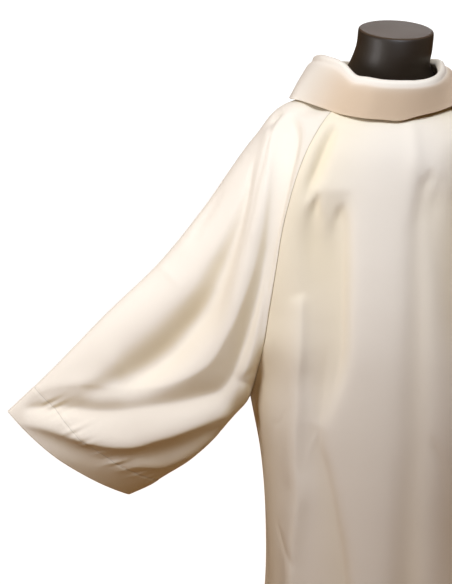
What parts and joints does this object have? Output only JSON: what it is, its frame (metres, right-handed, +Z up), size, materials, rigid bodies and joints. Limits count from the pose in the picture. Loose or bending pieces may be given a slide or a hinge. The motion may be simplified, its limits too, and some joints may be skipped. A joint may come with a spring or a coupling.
{
  "type": "alb on a dress form",
  "caption": "Ankle-length ivory alb with raglan sleeves and a deep fold-over collar, hanging on a headless, limbless dress form with a pole and round base.",
  "frame": {"origin": "on the floor, at the centre of the base's underside, straight under the neck", "axes": "+Z up; -Y is the front of the garment; +X is the wearer's left"},
  "size_m": [1.264, 0.4157, 1.5732],
  "materials": {
    "cloth": "smooth, fine weave, soft sheen",
    "form": "dark brown, satin gloss",
    "stand": "dark satin paint"
  },
  "bodies": {
    "root": {"front_panel": "cloth", "back_panel": "cloth", "sleeve_right": "cloth", "sleeve_left": "cloth", "collar": "cloth", "form_torso": "form", "stand_pole": "stand", "stand_base": "stand"}
  },
  "joints": []
}
